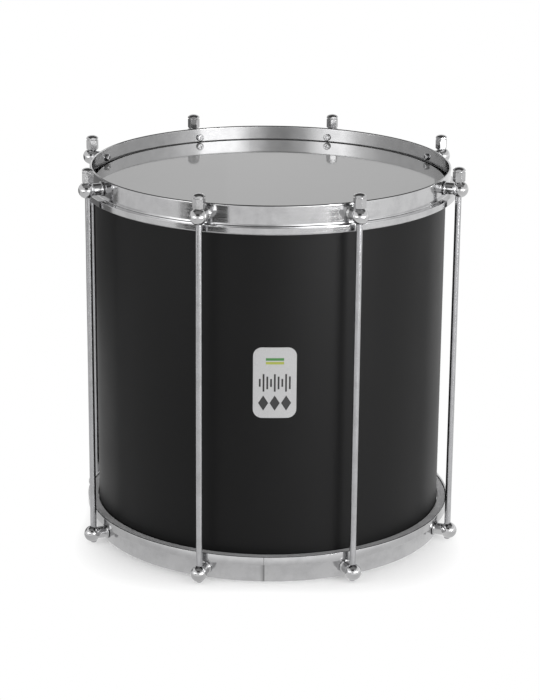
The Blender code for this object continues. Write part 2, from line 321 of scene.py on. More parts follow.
class MaterialBench(NodeBench):
    """One material's node tree."""

    def __init__(self, name: str) -> None:
        """Start a material.

        Args:
            name: The material's name.
        """
        self.material = bpy.data.materials.new(name)
        self.material.use_nodes = True
        super().__init__(self.material.node_tree)

    def shade(self, inputs: Mapping[str, object]) -> None:
        """Feed the inputs of the material's shader.

        Args:
            inputs: Sockets or values by the input's name.
        """
        shader = self.tree.nodes["Principled BSDF"]
        for name, value in inputs.items():
            self.feed(shader.inputs[name], value)

    def bump(self, height: bpy.types.NodeSocket, strength: float, distance: float) -> None:
        """Put a bump on the shader.

        Args:
            height: Socket with the height, from zero to one.
            strength: Share of the bump that shows.
            distance: Height of the bump in metres.
        """
        inputs = {"Strength": strength, "Distance": distance, "Height": height}
        self.shade({"Normal": self.add("ShaderNodeBump", inputs).outputs[0]})

    def surface(self, shader: bpy.types.NodeSocket) -> bpy.types.Material:
        """Show another shader in place of the usual one.

        Args:
            shader: The shader's socket.

        Returns:
            The material.
        """
        self.feed(self.tree.nodes["Material Output"].inputs["Surface"], shader)
        return self.material


@dataclass(frozen=True)
class MetalFinish:
    """A plated or bare metal with working marks, a faint haze and small tarnish."""

    name: str
    colour: Colour
    tarnish: Colour
    grain: Grain
    fine: float
    coarse: float
    smooth: float
    rough: float
    mark_depth: float
    wave_depth: float = 0.0
    metallic: float = 1.0
    marks: Cloud = Cloud(1.0, 4.0)
    haze: Cloud = Cloud(60.0, 4.0, 0.6)
    wave: Cloud = Cloud(28.0, 1.0)
    haze_range: Point = (0.42, 0.72)
    wear_range: Point = (0.35, 0.65)
    haze_share: float = 0.3

    def shaded(self, bench: MaterialBench, colour: bpy.types.NodeSocket) -> bpy.types.NodeSocket:
        """Colour with its darker spots, of which a plain metal has none."""
        return colour

    def material(self) -> bpy.types.Material:
        """Build the finish's material.

        Returns:
            The material.
        """
        bench = MaterialBench(self.name)
        place = bench.place()
        marks = bench.noise(bench.grain(self.grain, self.fine, self.coarse), self.marks)
        haze = bench.noise(place, self.haze)
        cloud = bench.span(haze, 0.0, 1.0, *self.haze_range)
        worn = bench.mixture(marks, haze, self.haze_share)
        bench.shade(
            {
                "Base Color": self.shaded(bench, bench.blend(cloud, self.colour, self.tarnish)),
                "Roughness": bench.span(worn, self.smooth, self.rough, *self.wear_range),
                "Metallic": self.metallic,
            }
        )
        depth = self.mark_depth + self.wave_depth
        if self.wave_depth:
            marks = bench.mixture(marks, bench.noise(place, self.wave), self.wave_depth / depth)
        bench.bump(marks, 1.0, depth)
        return bench.material


@dataclass(frozen=True)
class HoopFinish(MetalFinish):
    """A rolled hoop's chrome, darker on the ground weld seam, with a painted dark reflection on the rim's
    cut edge at the front and back.

    The seam lies at half a turn. Its ranges are in radians past it, and in metres from the rim.
    """

    weld_shade: float = 0.45
    weld_fade: Point = (-0.032, -0.002)
    weld_power: float = 2.2
    weld_stop: Point = (0.001, 0.006)
    weld_foot: Point = (-0.0185, -0.0165)
    # A painted dark reflection on the rim's cut edge: its strength, the range of |x| where it fades out
    # towards the sides, and its depth from the rim.
    painted_edge_reflection: float = 0.0
    edge_sides: Point = (0.1392, 0.1504)
    edge_foot: Point = (-0.0009, -0.0004)

    def shaded(self, bench: MaterialBench, colour: bpy.types.NodeSocket) -> bpy.types.NodeSocket:
        """Darken the seam, and paint a dark reflection on the cut edge at the front and back.

        Args:
            bench: The finish's node tree.
            colour: The plain metal's colour.

        Returns:
            The darkened colour's socket.
        """
        x, y, z = bench.parts(bench.own_place())
        turn = bench.math("ARCTAN2", y, bench.product(x, -1.0))
        fade = bench.math("POWER", bench.span(turn, 0.0, 1.0, *self.weld_fade), self.weld_power)
        stop = bench.span(turn, 1.0, 0.0, *self.weld_stop)
        seam = bench.product(fade, stop, bench.span(z, 0.0, 1.0, *self.weld_foot))
        # Painted dark reflection: the cut edge at the rim is darkened at the front and back, fading out at
        # the sides.
        sides = bench.span(bench.math("ABSOLUTE", x), 1.0, 0.0, *self.edge_sides)
        edge = bench.product(sides, bench.span(z, 0.0, 1.0, *self.edge_foot))
        left = [
            bench.math("SUBTRACT", 1.0, bench.product(spot, shade))
            for spot, shade in ((seam, self.weld_shade), (edge, self.painted_edge_reflection))
        ]
        inputs = {0: colour, "Scale": bench.product(*left)}
        return bench.add("ShaderNodeVectorMath", inputs, operation="SCALE").outputs[0]


@dataclass(frozen=True)
class CoatFinish:
    """Lacquer, plastic or ink: clouds of a second colour and sheen, and a fine relief."""

    name: str
    colour: Colour
    clouded: Colour
    smooth: float
    rough: float
    clouds: Cloud
    relief: Cloud
    relief_depth: float
    relief_strength: float = 1.0
    dust: Cloud | None = None
    dust_share: float = 0.25
    shine: float = 0.5
    index: float = 1.5

    def material(self) -> bpy.types.Material:
        """Build the finish's material.

        Returns:
            The material.
        """
        bench = MaterialBench(self.name)
        place = bench.place()
        cloud = bench.noise(place, self.clouds)
        if self.dust:
            cloud = bench.mixture(cloud, bench.noise(place, self.dust), self.dust_share)
        bench.shade(
            {
                "Base Color": bench.blend(bench.span(cloud, 0.0, 1.0), self.colour, self.clouded),
                "Roughness": bench.span(cloud, self.smooth, self.rough),
                "Specular IOR Level": self.shine,
                "IOR": self.index,
            }
        )
        bench.bump(bench.noise(place, self.relief), self.relief_strength, self.relief_depth)
        return bench.material


TOP_HOOP_CHROME = HoopFinish(
    name="rolled_hoop_chrome",
    colour=(0.52, 0.52, 0.525),
    tarnish=(0.44, 0.44, 0.445),
    grain=Grain.ROUND,
    fine=2600.0,
    coarse=9.0,
    smooth=0.07,
    rough=0.17,
    mark_depth=0.0000012,
    wave_depth=0.00003,
    # The top rim's cut edge gets a painted dark reflection.
    painted_edge_reflection=0.85,
)
BOTTOM_HOOP_CHROME = replace(TOP_HOOP_CHROME, name="standing_hoop_chrome", painted_edge_reflection=0.0)
LUG_CHROME = MetalFinish(
    name="turned_lug_chrome",
    colour=(0.50, 0.50, 0.505),
    tarnish=(0.43, 0.43, 0.43),
    grain=Grain.ROUND,
    fine=5200.0,
    coarse=2.0,
    smooth=0.05,
    rough=0.13,
    mark_depth=0.0000015,
)
NUT_CHROME = MetalFinish(
    name="tuning_nut_chrome",
    colour=(0.45, 0.45, 0.455),
    tarnish=(0.34, 0.34, 0.34),
    grain=Grain.ALONG,
    fine=2400.0,
    coarse=500.0,
    smooth=0.10,
    rough=0.26,
    mark_depth=0.000006,
)
ROD_ZINC = MetalFinish(
    name="tension_rod_zinc",
    colour=(0.42, 0.42, 0.43),
    tarnish=(0.34, 0.34, 0.345),
    grain=Grain.ALONG,
    fine=4200.0,
    coarse=40.0,
    smooth=0.14,
    rough=0.28,
    mark_depth=0.000004,
)
SCREW_ZINC = MetalFinish(
    name="lug_screw_zinc",
    colour=(0.56, 0.56, 0.57),
    tarnish=(0.38, 0.38, 0.38),
    grain=Grain.ALONG,
    fine=900.0,
    coarse=900.0,
    smooth=0.14,
    rough=0.30,
    mark_depth=0.000004,
)
FLESH_ALUMINIUM = MetalFinish(
    name="flesh_hoop_aluminium",
    colour=(0.38, 0.38, 0.385),
    tarnish=(0.28, 0.28, 0.285),
    grain=Grain.ROUND,
    fine=3000.0,
    coarse=12.0,
    smooth=0.45,
    rough=0.60,
    mark_depth=0.000005,
    metallic=0.3,
)
SHELL_BLACK = CoatFinish(
    name="shell_black_lacquer",
    colour=(0.0014, 0.0014, 0.0016),
    clouded=(0.0022, 0.0022, 0.0024),
    smooth=0.45,
    rough=0.50,
    clouds=Cloud(14.0, 4.0, 0.6),
    relief=Cloud(700.0, 2.0),
    relief_depth=0.00001,
    shine=0.165,
)
HEAD_FILM = CoatFinish(
    name="grey_head_film",
    colour=(0.105, 0.105, 0.105),
    clouded=(0.118, 0.118, 0.118),
    smooth=0.04,
    rough=0.09,
    clouds=Cloud(9.0, 3.0, 0.55),
    relief=Cloud(9.0, 3.0, 0.55),
    relief_depth=0.00004,
    dust=Cloud(900.0, 2.0),
    index=2.0,
)
BADGE_FOIL = CoatFinish(
    name="badge_silver_foil",
    colour=(0.56, 0.56, 0.565),
    clouded=(0.63, 0.63, 0.635),
    smooth=0.36,
    rough=0.42,
    clouds=Cloud(1400.0, 2.0),
    relief=Cloud(1400.0, 2.0),
    relief_depth=0.00002,
    relief_strength=0.5,
)
BADGE_BLACK = replace(
    BADGE_FOIL,
    name="badge_black_ink",
    colour=(0.012, 0.012, 0.013),
    clouded=(0.020, 0.020, 0.021),
    smooth=0.44,
    rough=0.50,
)
BADGE_GREEN = replace(
    BADGE_FOIL,
    name="badge_green_ink",
    colour=(0.045, 0.22, 0.045),
    clouded=(0.065, 0.27, 0.055),
    smooth=0.39,
    rough=0.45,
)
BADGE_OCHRE = replace(
    BADGE_GREEN, name="badge_ochre_ink", colour=(0.40, 0.46, 0.05), clouded=(0.46, 0.50, 0.08)
)


def rounded(corners: Sequence[Corner], closed: bool, steps: int = 6) -> list[Point]:
    """Round the corners of an outline, with a point beside each round that keeps the flats flat.

    Args:
        corners: Points as (x, y, rounding radius), in order.
        closed: Whether the last point joins the first.
        steps: Segments in each rounded corner.

    Returns:
        The outline's points.
    """
    points: list[Point] = []
    count = len(corners)
    for index, (x, y, radius) in enumerate(corners):
        at_end = not closed and index in (0, count - 1)
        if at_end or radius <= 0.0:
            points.append((x, y))
            continue
        here = Vector((x, y))
        before = Vector(corners[index - 1][:2]) - here
        after = Vector(corners[(index + 1) % count][:2]) - here
        half = before.angle(after) / 2
        reach = min(radius / math.tan(half), before.length * HALF_EDGE, after.length * HALF_EDGE)
        size = reach * math.tan(half)
        middle = here + (before.normalized() + after.normalized()).normalized() * (size / math.sin(half))
        start = here + before.normalized() * reach - middle
        sweep = start.angle_signed(here + after.normalized() * reach - middle)
        turn = [middle + Matrix.Rotation(-sweep * step / steps, 2) @ start for step in range(steps + 1)]
        if before.length / 2 > reach + GUARD:
            turn.insert(0, here + before.normalized() * (reach + GUARD))
        if after.length / 2 > reach + GUARD:
            turn.append(here + after.normalized() * (reach + GUARD))
        points.extend((spot.x, spot.y) for spot in turn)
    return points


def arc(centre: Point, radius: float, start: float, end: float, steps: int) -> list[Point]:
    """Points of an arc.

    Args:
        centre: The arc's centre.
        radius: Its radius.
        start: First angle in degrees.
        end: Last angle in degrees.
        steps: Number of segments.

    Returns:
        The points from start to end.
    """
    angles = [math.radians(start + (end - start) * step / steps) for step in range(steps + 1)]
    return [(centre[0] + radius * math.cos(angle), centre[1] + radius * math.sin(angle)) for angle in angles]


def circle(radius: float, steps: int) -> list[Point]:
    """Points of a circle about the origin."""
    return arc((0.0, 0.0), radius, 0.0, 360.0 * (steps - 1) / steps, steps - 1)


def rectangle(width: float, height: float) -> list[Point]:
    """Corners of a rectangle about the origin."""
    x, y = width / 2, height / 2
    return [(-x, -y), (x, -y), (x, y), (-x, y)]


def to_mesh(name: str, solid: bmesh.types.BMesh) -> bpy.types.Mesh:
    """Turn a bmesh into a mesh with its faces outward.

    Args:
        name: The mesh's name.
        solid: The bmesh, which is used up.

    Returns:
        The mesh.
    """
    bmesh.ops.recalc_face_normals(solid, faces=solid.faces)
    mesh = bpy.data.meshes.new(name)
    solid.to_mesh(mesh)
    solid.free()
    return mesh


def finish_mesh(mesh: bpy.types.Mesh) -> bpy.types.Mesh:
    """Shade a mesh smooth with sharp corners.

    Args:
        mesh: The mesh, which is changed.

    Returns:
        The same mesh.
    """
    mesh.shade_smooth()
    mesh.set_sharp_from_angle(angle=SHARP_ANGLE)
    return mesh


def turned(
    name: str,
    section: Sequence[Point],
    steps: int,
    dent: Callable[[float, float], float] | None = None,
    extra_angles: Sequence[float] = (),
) -> bpy.types.Mesh:
    """Turn a section about Z into a closed mesh.

    Args:
        name: The mesh's name.
        section: Points (radius, height). A closed ring, unless both ends lie on the axis.
        steps: Segments round the axis.
        dent: Optional change of radius, from the angle and the radius.
        extra_angles: More angles, in radians, where finer segments are needed.

    Returns:
        The mesh.
    """
    regular = {round(2 * math.pi * step / steps, 9) for step in range(steps)}
    angles = sorted(regular | set(extra_angles))
    solid = bmesh.new()
    columns: list[list[bmesh.types.BMVert]] = []
    poles: dict[int, bmesh.types.BMVert] = {}
    for angle in angles:
        column = []
        for index, (radius, height) in enumerate(section):
            if radius < NEARLY_ZERO:
                if index not in poles:
                    poles[index] = solid.verts.new((0.0, 0.0, height))
                column.append(poles[index])
                continue
            shifted = radius + (dent(angle, radius) if dent else 0.0)
            column.append(solid.verts.new((shifted * math.cos(angle), shifted * math.sin(angle), height)))
        columns.append(column)
    count = len(section)
    links = count if not poles else count - 1
    for side, column in enumerate(columns):
        following = columns[(side + 1) % len(columns)]
        for index in range(links):
            after = (index + 1) % count
            ring = [column[index], column[after], following[after], following[index]]
            face = list(dict.fromkeys(ring))
            if len(face) > 2:
                solid.faces.new(face)
    return finish_mesh(to_mesh(name, solid))


def prism(name: str, outline: Sequence[Point], low: float, high: float) -> bpy.types.Mesh:
    """Raise an outline in the XY plane into a closed prism.

    Args:
        name: The mesh's name.
        outline: The outline's points.
        low: Height of the lower face.
        high: Height of the upper face.

    Returns:
        The mesh.
    """
    solid = bmesh.new()
    foot = [solid.verts.new((x, y, low)) for x, y in outline]
    crown = [solid.verts.new((x, y, high)) for x, y in outline]
    solid.faces.new(foot)
    solid.faces.new(crown)
    for index in range(len(outline)):
        after = (index + 1) % len(outline)
        solid.faces.new([foot[index], foot[after], crown[after], crown[index]])
    return to_mesh(name, solid)


def add_object(name: str, data: bpy.types.ID) -> bpy.types.Object:
    """Add an object to the scene.

    Args:
        name: The object's name.
        data: Its mesh, lamp or camera.

    Returns:
        The object.
    """
    item = bpy.data.objects.new(name, data)
    bpy.context.scene.collection.objects.link(item)
    return item


def carve(mesh: bpy.types.Mesh, cutters: Sequence[Cutter]) -> bpy.types.Mesh:
    """Cut or trim a mesh with exact Booleans.

    Args:
        mesh: The mesh to work on.
        cutters: Meshes with their places and operations, in order.

    Returns:
        The finished mesh.
    """
    work = add_object(mesh.name, mesh)
    tools = []
    for cutter, place, operation in cutters:
        tool = add_object(cutter.name, cutter)
        tool.matrix_world = place
        tools.append(tool)
        boolean = work.modifiers.new(cutter.name, "BOOLEAN")
        boolean.operation = operation
        boolean.solver = "EXACT"
        boolean.object = tool
    bpy.context.view_layer.update()
    graph = bpy.context.evaluated_depsgraph_get()
    made = bpy.data.meshes.new_from_object(work.evaluated_get(graph))
    made.name = mesh.name
    for item in (*tools, work):
        bpy.data.objects.remove(item)
    return finish_mesh(made)


def add_piece(
    name: str,
    mesh: bpy.types.Mesh,
    material: bpy.types.Material,
    place: Matrix,
    body: str,
    stands_for: str | None = None,
) -> bpy.types.Object:
    """Add one piece of the drum.

    Args:
        name: The piece's name.
        mesh: Its mesh in its own frame, which is copied.
        material: Its finish.
        place: Its place in the drum's frame.
        body: The body that it rides on.
        stands_for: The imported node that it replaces.

    Returns:
        The piece.
    """
    own = mesh.copy()
    own.name = name
    spots = np.empty(len(own.vertices) * 3, dtype=np.float32)
    own.vertices.foreach_get("co", spots)
    own.attributes.new(OWN_PLACE, "FLOAT_VECTOR", "POINT").data.foreach_set("vector", spots)
    own.transform(place)
    own.materials.append(material)
    piece = add_object(name, own)
    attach(piece, body)
    if stands_for:
        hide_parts(stands_for)
    LOG.info("%s rides on %s", name, body)
    return piece


@dataclass(frozen=True)
class Pattern:
    """Where the tension stations stand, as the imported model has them."""

    count: int
    circle_radius: float
    height: float

    @classmethod
    def from_frame(cls) -> Pattern:
        """Read the pattern from the nuts' joints and the top hoop.

        Returns:
            The pattern.
        """
        turns = [joint for joint in frame["joints"] if joint["type"] == "hinge"]
        x, y = turns[0]["pos_m"][:2]
        return cls(len(turns), math.hypot(x, y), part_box("top_hoop")[1].z)

    def azimuth(self, number: int) -> float:
        """Direction of a station in radians, numbered from the front right, anticlockwise from above."""
        spacing = 2 * math.pi / self.count
        return -math.pi / 2 + spacing / 2 + spacing * (number - 1)

    def numbers(self) -> range:
        """The stations' numbers."""
        return range(1, self.count + 1)

    def rim(self, end: End) -> Matrix:
        """Frame of one end: its rim at zero, Z pointing out of the drum.

        Args:
            end: The drum's end.

        Returns:
            The frame.
        """
        if end is End.TOP:
            return Matrix.Translation((0.0, 0.0, self.height))
        return Matrix.Rotation(math.pi, 4, "X")

    def outward(self, number: int, radius: float, depth: float, end: End) -> Matrix:
        """Frame on a station's radius, with Z outward and Y towards the nearer rim.

        Args:
            number: The station.
            radius: Distance from the drum's axis.
            depth: Distance below the rim.
            end: The drum's end.

        Returns:
            The frame.
        """
        angle = self.azimuth(number)
        out = Vector((math.cos(angle), math.sin(angle), 0.0))
        up = Vector((0.0, 0.0, float(end.value)))
        place = Matrix((up.cross(out), up, out)).transposed().to_4x4()
        level = self.height - depth if end is End.TOP else depth
        place.translation = out * radius + Vector((0.0, 0.0, level))
        return place

    def upright(self, number: int, level: float) -> Matrix:
        """Upright frame on a rod's axis.

        Args:
            number: The station.
            level: Height above the drum's foot.

        Returns:
            The frame.
        """
        angle = self.azimuth(number)
        spot = (self.circle_radius * math.cos(angle), self.circle_radius * math.sin(angle), level)
        return Matrix.Translation(spot) @ Matrix.Rotation(angle, 4, "Z")


@dataclass
class Shell:
    """The black cylinder, with a rounded bearing edge at both ends."""

    wall: float = 0.006
    edge_round: float = 0.0015
    crest_round: float = 0.0005
    bevel_round: float = 0.0008
    steps: int = 256

    def build(self) -> None:
        """Build and dress the shell."""
        low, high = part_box("shell")
        outer = high.x
        inner = outer - self.wall
        bevel = self.wall - self.edge_round
        section = rounded(
            [
                (outer, high.z, self.edge_round),
                (outer, low.z, self.edge_round),
                (outer - self.edge_round, low.z, self.crest_round),
                (inner, low.z + bevel, self.bevel_round),
                (inner, high.z - bevel, self.bevel_round),
                (outer - self.edge_round, high.z, self.crest_round),
            ],
            closed=True,
        )
        name = "lacquered_shell"
        mesh = turned(name, section, self.steps)
        add_piece(name, mesh, SHELL_BLACK.material(), IN_PLACE, "drum", "shell")


@dataclass
class Head:
    """Both heads: a film over the bearing edge and the flesh hoop that holds it."""

    pattern: Pattern
    film_thickness: float = 0.00025
    shoulder_round: float = 0.0020
    flesh_gap: float = 0.0003
    flesh_round: float = 0.0014
    flesh_foot_round: float = 0.0005
    flesh_inner_round: float = 0.0004
    steps: int = 256

    def film_section(self, node: str) -> list[Point]:
        """Section of the film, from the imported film's box, rim side up.

        Args:
            node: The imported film.

        Returns:
            The section's points.
        """
        low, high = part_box(node)
        thick = self.film_thickness
        outer = high.x
        drop = high.z - low.z
        inner = outer - thick
        bend = self.shoulder_round
        outside = [(0.0, 0.0, 0.0), (outer, 0.0, bend), (outer, -drop, 0.0)]
        inside = [(inner, -drop, 0.0), (inner, -thick, bend - thick), (0.0, -thick, 0.0)]
        return rounded(outside, closed=False) + rounded(inside, closed=False)

    def flesh_section(self, film_node: str, node: str) -> list[Point]:
        """Section of the flesh hoop, rim side up.

        Args:
            film_node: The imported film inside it.
            node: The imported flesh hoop.

        Returns:
            The section's points.
        """
        low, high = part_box(node)
        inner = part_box(film_node)[1].x + self.flesh_gap
        drop = high.z - low.z
        return rounded(
            [
                (high.x, 0.0, self.flesh_round),
                (high.x, -drop, self.flesh_foot_round),
                (inner, -drop, self.flesh_inner_round),
                (inner, 0.0, self.flesh_inner_round),
            ],
            closed=True,
        )

    def build(self) -> None:
        """Build both heads."""
        film_finish, flesh_finish = HEAD_FILM.material(), FLESH_ALUMINIUM.material()
        film, flesh = "batter_head_film", "batter_flesh_hoop"
        film_mesh = turned("head_film", self.film_section(film), self.steps)
        flesh_mesh = turned("flesh_hoop", self.flesh_section(film, flesh), self.steps)
        rim = self.pattern.height
        recess = Matrix.Translation((0.0, 0.0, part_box(film)[1].z - rim))
        flesh_recess = Matrix.Translation((0.0, 0.0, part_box(flesh)[1].z - rim))
        for end in End:
            place = self.pattern.rim(end) @ recess
            node = f"{end.head}_head_film"
            add_piece(f"{end.head}_film", film_mesh, film_finish, place, "drum", node)
            place = self.pattern.rim(end) @ flesh_recess
            node = f"{end.head}_flesh_hoop"
            add_piece(f"{end.head}_flesh_ring", flesh_mesh, flesh_finish, place, "drum", node)


@dataclass
class Hoop:
    """A counter hoop rolled from one strip: band, shoulder and skirt, with a welded seam."""

    pattern: Pattern
    strip: float = 0.0018
    band_height: float = 0.0171
    shoulder_reach: float = 0.00595
    shoulder_round: float = 0.0004
    inner_bend: float = 0.0017
    outer_bend: float = 0.0022
    cove_round: float = 0.0006
    rim_round: float = 0.0009
    foot_round: float = 0.0002
    foot_inner_round: float = 0.0012
    top_seam: float = 175.0
    bottom_seam: float = -93.76
    seam_width: float = 0.0009
    seam_lean: float = 3.0
    seam_depth: float = 0.00004
    seam_cuts: range = range(-14, 7)
    bottom_skirt: float = 0.0021
    round_steps: int = 8
    steps: int = 288

    def section(self, longer: float) -> list[Point]:
        """Section of a hoop, rim at zero.

        Args:
            longer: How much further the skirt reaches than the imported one.

        Returns:
            The section's points.
        """
        low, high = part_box("top_hoop")
        skirt = high.x
        foot = low.z - high.z - longer
        band = skirt - self.shoulder_reach
        shoulder = -self.band_height
        return rounded(
            [
                (band, 0.0, self.rim_round),
                (band, shoulder, self.cove_round),
                (skirt, shoulder, self.shoulder_round),
                (skirt, foot, self.foot_round),
                (skirt - self.strip, foot, self.foot_inner_round),
                (skirt - self.strip, shoulder - self.strip, self.inner_bend),
                (band - self.strip, shoulder - self.strip, self.outer_bend),
                (band - self.strip, 0.0, self.rim_round),
            ],
            closed=True,
            steps=self.round_steps,
        )

    def seam(self, angle: float, radius: float) -> float:
        """Depth of the ground weld seam.

        Args:
            angle: Direction in radians, with the seam at half a turn.
            radius: Radius of the point.

        Returns:
            The change of radius.
        """
        across = (angle - math.pi) * radius / self.seam_width
        if across < 0.0:
            across /= self.seam_lean
        return -self.seam_depth * math.exp(-across * across)

    def build(self) -> None:
        """Build both hoops."""
        spread = self.seam_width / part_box("top_hoop")[1].x
        near = [math.pi + spread * step / 2 for step in self.seam_cuts]
        for end, seam, longer, finish in (
            (End.TOP, self.top_seam, 0.0, TOP_HOOP_CHROME),
            (End.BOTTOM, -self.bottom_seam, self.bottom_skirt, BOTTOM_HOOP_CHROME),
        ):
            name = f"rolled_{end.side}_hoop"
            mesh = turned(name, self.section(longer), self.steps, self.seam, near)
            rim = self.pattern.rim(end) @ Matrix.Rotation(math.radians(seam) - math.pi, 4, "Z")
            add_piece(name, mesh, finish.material(), rim, end.body, f"{end.side}_hoop")


@dataclass(frozen=True)
class TensionRod:
    """A long rod, rounded at its foot, and the bore that lugs and nuts have for it."""

    radius: float = 0.0027
    foot_round: float = 0.0013
    top_round: float = 0.0008
    bore_gap: float = 0.0003
    bore_steps: int = 40
    steps: int = 48

    @property
    def bore_radius(self) -> float:
        """Radius of the bore."""
        return self.radius + self.bore_gap

    def bore(self, low: float, high: float) -> bpy.types.Mesh:
        """Cutter of the bore, between two heights."""
        return prism("rod_bore", circle(self.bore_radius, self.bore_steps), low, high)

    def mesh(self) -> bpy.types.Mesh:
        """One rod.

        Returns:
            The mesh, standing at its real height.
        """
        low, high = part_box("tension_rod_1")
        outline = rounded(
            [
                (0.0, high.z, 0.0),
                (self.radius, high.z, self.top_round),
                (self.radius, low.z, self.foot_round),
                (0.0, low.z, 0.0),
            ],
            closed=False,
        )
        return turned("tension_rod", outline, self.steps)


@dataclass(frozen=True)
class LugScrew:
    """A screw with a domed, cross recessed head, from inside the hoop into the lug."""

    head_radius: float = 0.0032
    head_height: float = 0.0019
    head_round: float = 0.0015
    rim_round: float = 0.0002
    tip_round: float = 0.0004
    radius: float = 0.0019
    bite: float = 0.0055
    hole_gap: float = 0.0003
    hole_spare: float = 0.0005
    hole_steps: int = 24
    seat_radius: float = 0.1541
    slot_width: float = 0.0008
    slot_length: float = 0.0036
    slot_depth: float = 0.0011
    round_steps: int = 8
    steps: int = 40

    def hole(self) -> bpy.types.Mesh:
        """Cutter of the screw's hole in the lug."""
        outline = circle(self.radius + self.hole_gap, self.hole_steps)
        return prism("screw_hole", outline, -2 * BEYOND, self.bite + self.hole_spare)

    def mesh(self, lug_base: float) -> bpy.types.Mesh:
        """One screw.

        Args:
            lug_base: Radius of the lug's base from the drum's axis.

        Returns:
            The mesh, seat at zero, with the shank along Z.
        """
        length = lug_base - self.seat_radius + self.bite
        top = -self.head_height
        outline = rounded(
            [
                (0.0, length, 0.0),
                (self.radius, length, self.tip_round),
                (self.radius, 0.0, 0.0),
                (self.head_radius, 0.0, self.rim_round),
                (self.head_radius, top, self.head_round),
                (0.0, top, 0.0),
            ],
            closed=False,
            steps=self.round_steps,
        )
        bar = rectangle(self.slot_length, self.slot_width)
        cutters = []
        for name, turn in (("slot_one", 0.0), ("slot_two", math.pi / 2)):
            slot = prism(name, bar, top - BEYOND, top + self.slot_depth)
            cutters.append((slot, Matrix.Rotation(turn, 4, "Z"), "DIFFERENCE"))
        return carve(turned("lug_screw", outline, self.steps), cutters)


@dataclass(frozen=True)
class BallLug:
    """A lug turned from one bar: flange, barrel and ball."""

    reach: float
    flange_radius: float = 0.0062
    flange_thickness: float = 0.0014
    flange_base_round: float = 0.0003
    flange_round: float = 0.0005
    flange_cove: float = 0.0006
    barrel_radius: float = 0.0051
    neck_round: float = 0.0014
    neck_turn: float = 78.0
    ball_radius: float = 0.00705
    ball_offset: float = 0.0013
    ball_steps: int = 28
    seat_cut: float = 0.00115
    seat_steps: int = 48
    mouth_drop: float = 0.0012
    mouth_flare: float = 0.0014
    mouth_lap: float = 0.0002
    mouth_spread: float = 0.0012
    steps: int = 64

    def blank(self) -> bpy.types.Mesh:
        """The lug as it comes off the lathe.

        Returns:
            The mesh, with the lug's axis along Z.
        """
        ball = self.reach + self.ball_offset
        neck = math.degrees(math.asin(self.barrel_radius / self.ball_radius))
        neck_level = ball - self.ball_radius * math.cos(math.radians(neck))
        dome = arc((0.0, ball), self.ball_radius, 90.0, neck - self.neck_turn, self.ball_steps)
        dome[0] = (0.0, dome[0][1])
        shank = rounded(
            [
                (*dome[-1], 0.0),
                (self.barrel_radius, neck_level, self.neck_round),
                (self.barrel_radius, self.flange_thickness, self.flange_cove),
                (self.flange_radius, self.flange_thickness, self.flange_round),
                (self.flange_radius, 0.0, self.flange_base_round),
                (0.0, 0.0, 0.0),
            ],
            closed=False,
        )
        return turned("ball_lug", dome[:-1] + shank, self.steps)

    def mesh(self, rod: TensionRod, screw: LugScrew) -> bpy.types.Mesh:
        """One lug, drilled for the rod, faced for the nut and bored for its screw.

        Args:
            rod: The rod that goes through the ball.
            screw: The screw that holds the lug.

        Returns:
            The mesh, with the lug's axis along Z.
        """
        ball = self.ball_radius
        tilt = Matrix.Rotation(math.pi / 2, 4, "X")
        bore_place = Matrix.Translation((0.0, 0.0, self.reach)) @ tilt
        seat_circle = circle(ball + BEYOND, self.seat_steps)
        seat = prism("nut_seat", seat_circle, -10 * BEYOND, self.seat_cut - ball)
        seat_place = Matrix.Translation((0.0, 0.0, self.reach + self.ball_offset)) @ tilt
        narrow, wide = rod.bore_radius - self.mouth_lap, rod.bore_radius + self.mouth_spread
        mouth_section = [(0.0, 0.0), (narrow, 0.0), (wide, -self.mouth_flare), (0.0, -self.mouth_flare)]
        mouth = turned("bore_mouth", mouth_section, rod.bore_steps)
        mouth_place = Matrix.Translation((0.0, self.mouth_drop - ball, self.reach)) @ tilt.inverted()
        cuts = (
            (rod.bore(-ball * 2, ball * 2), bore_place),
            (seat, seat_place),
            (mouth, mouth_place),
            (screw.hole(), IN_PLACE),
        )
        return carve(self.blank(), [(*cut, "DIFFERENCE") for cut in cuts])


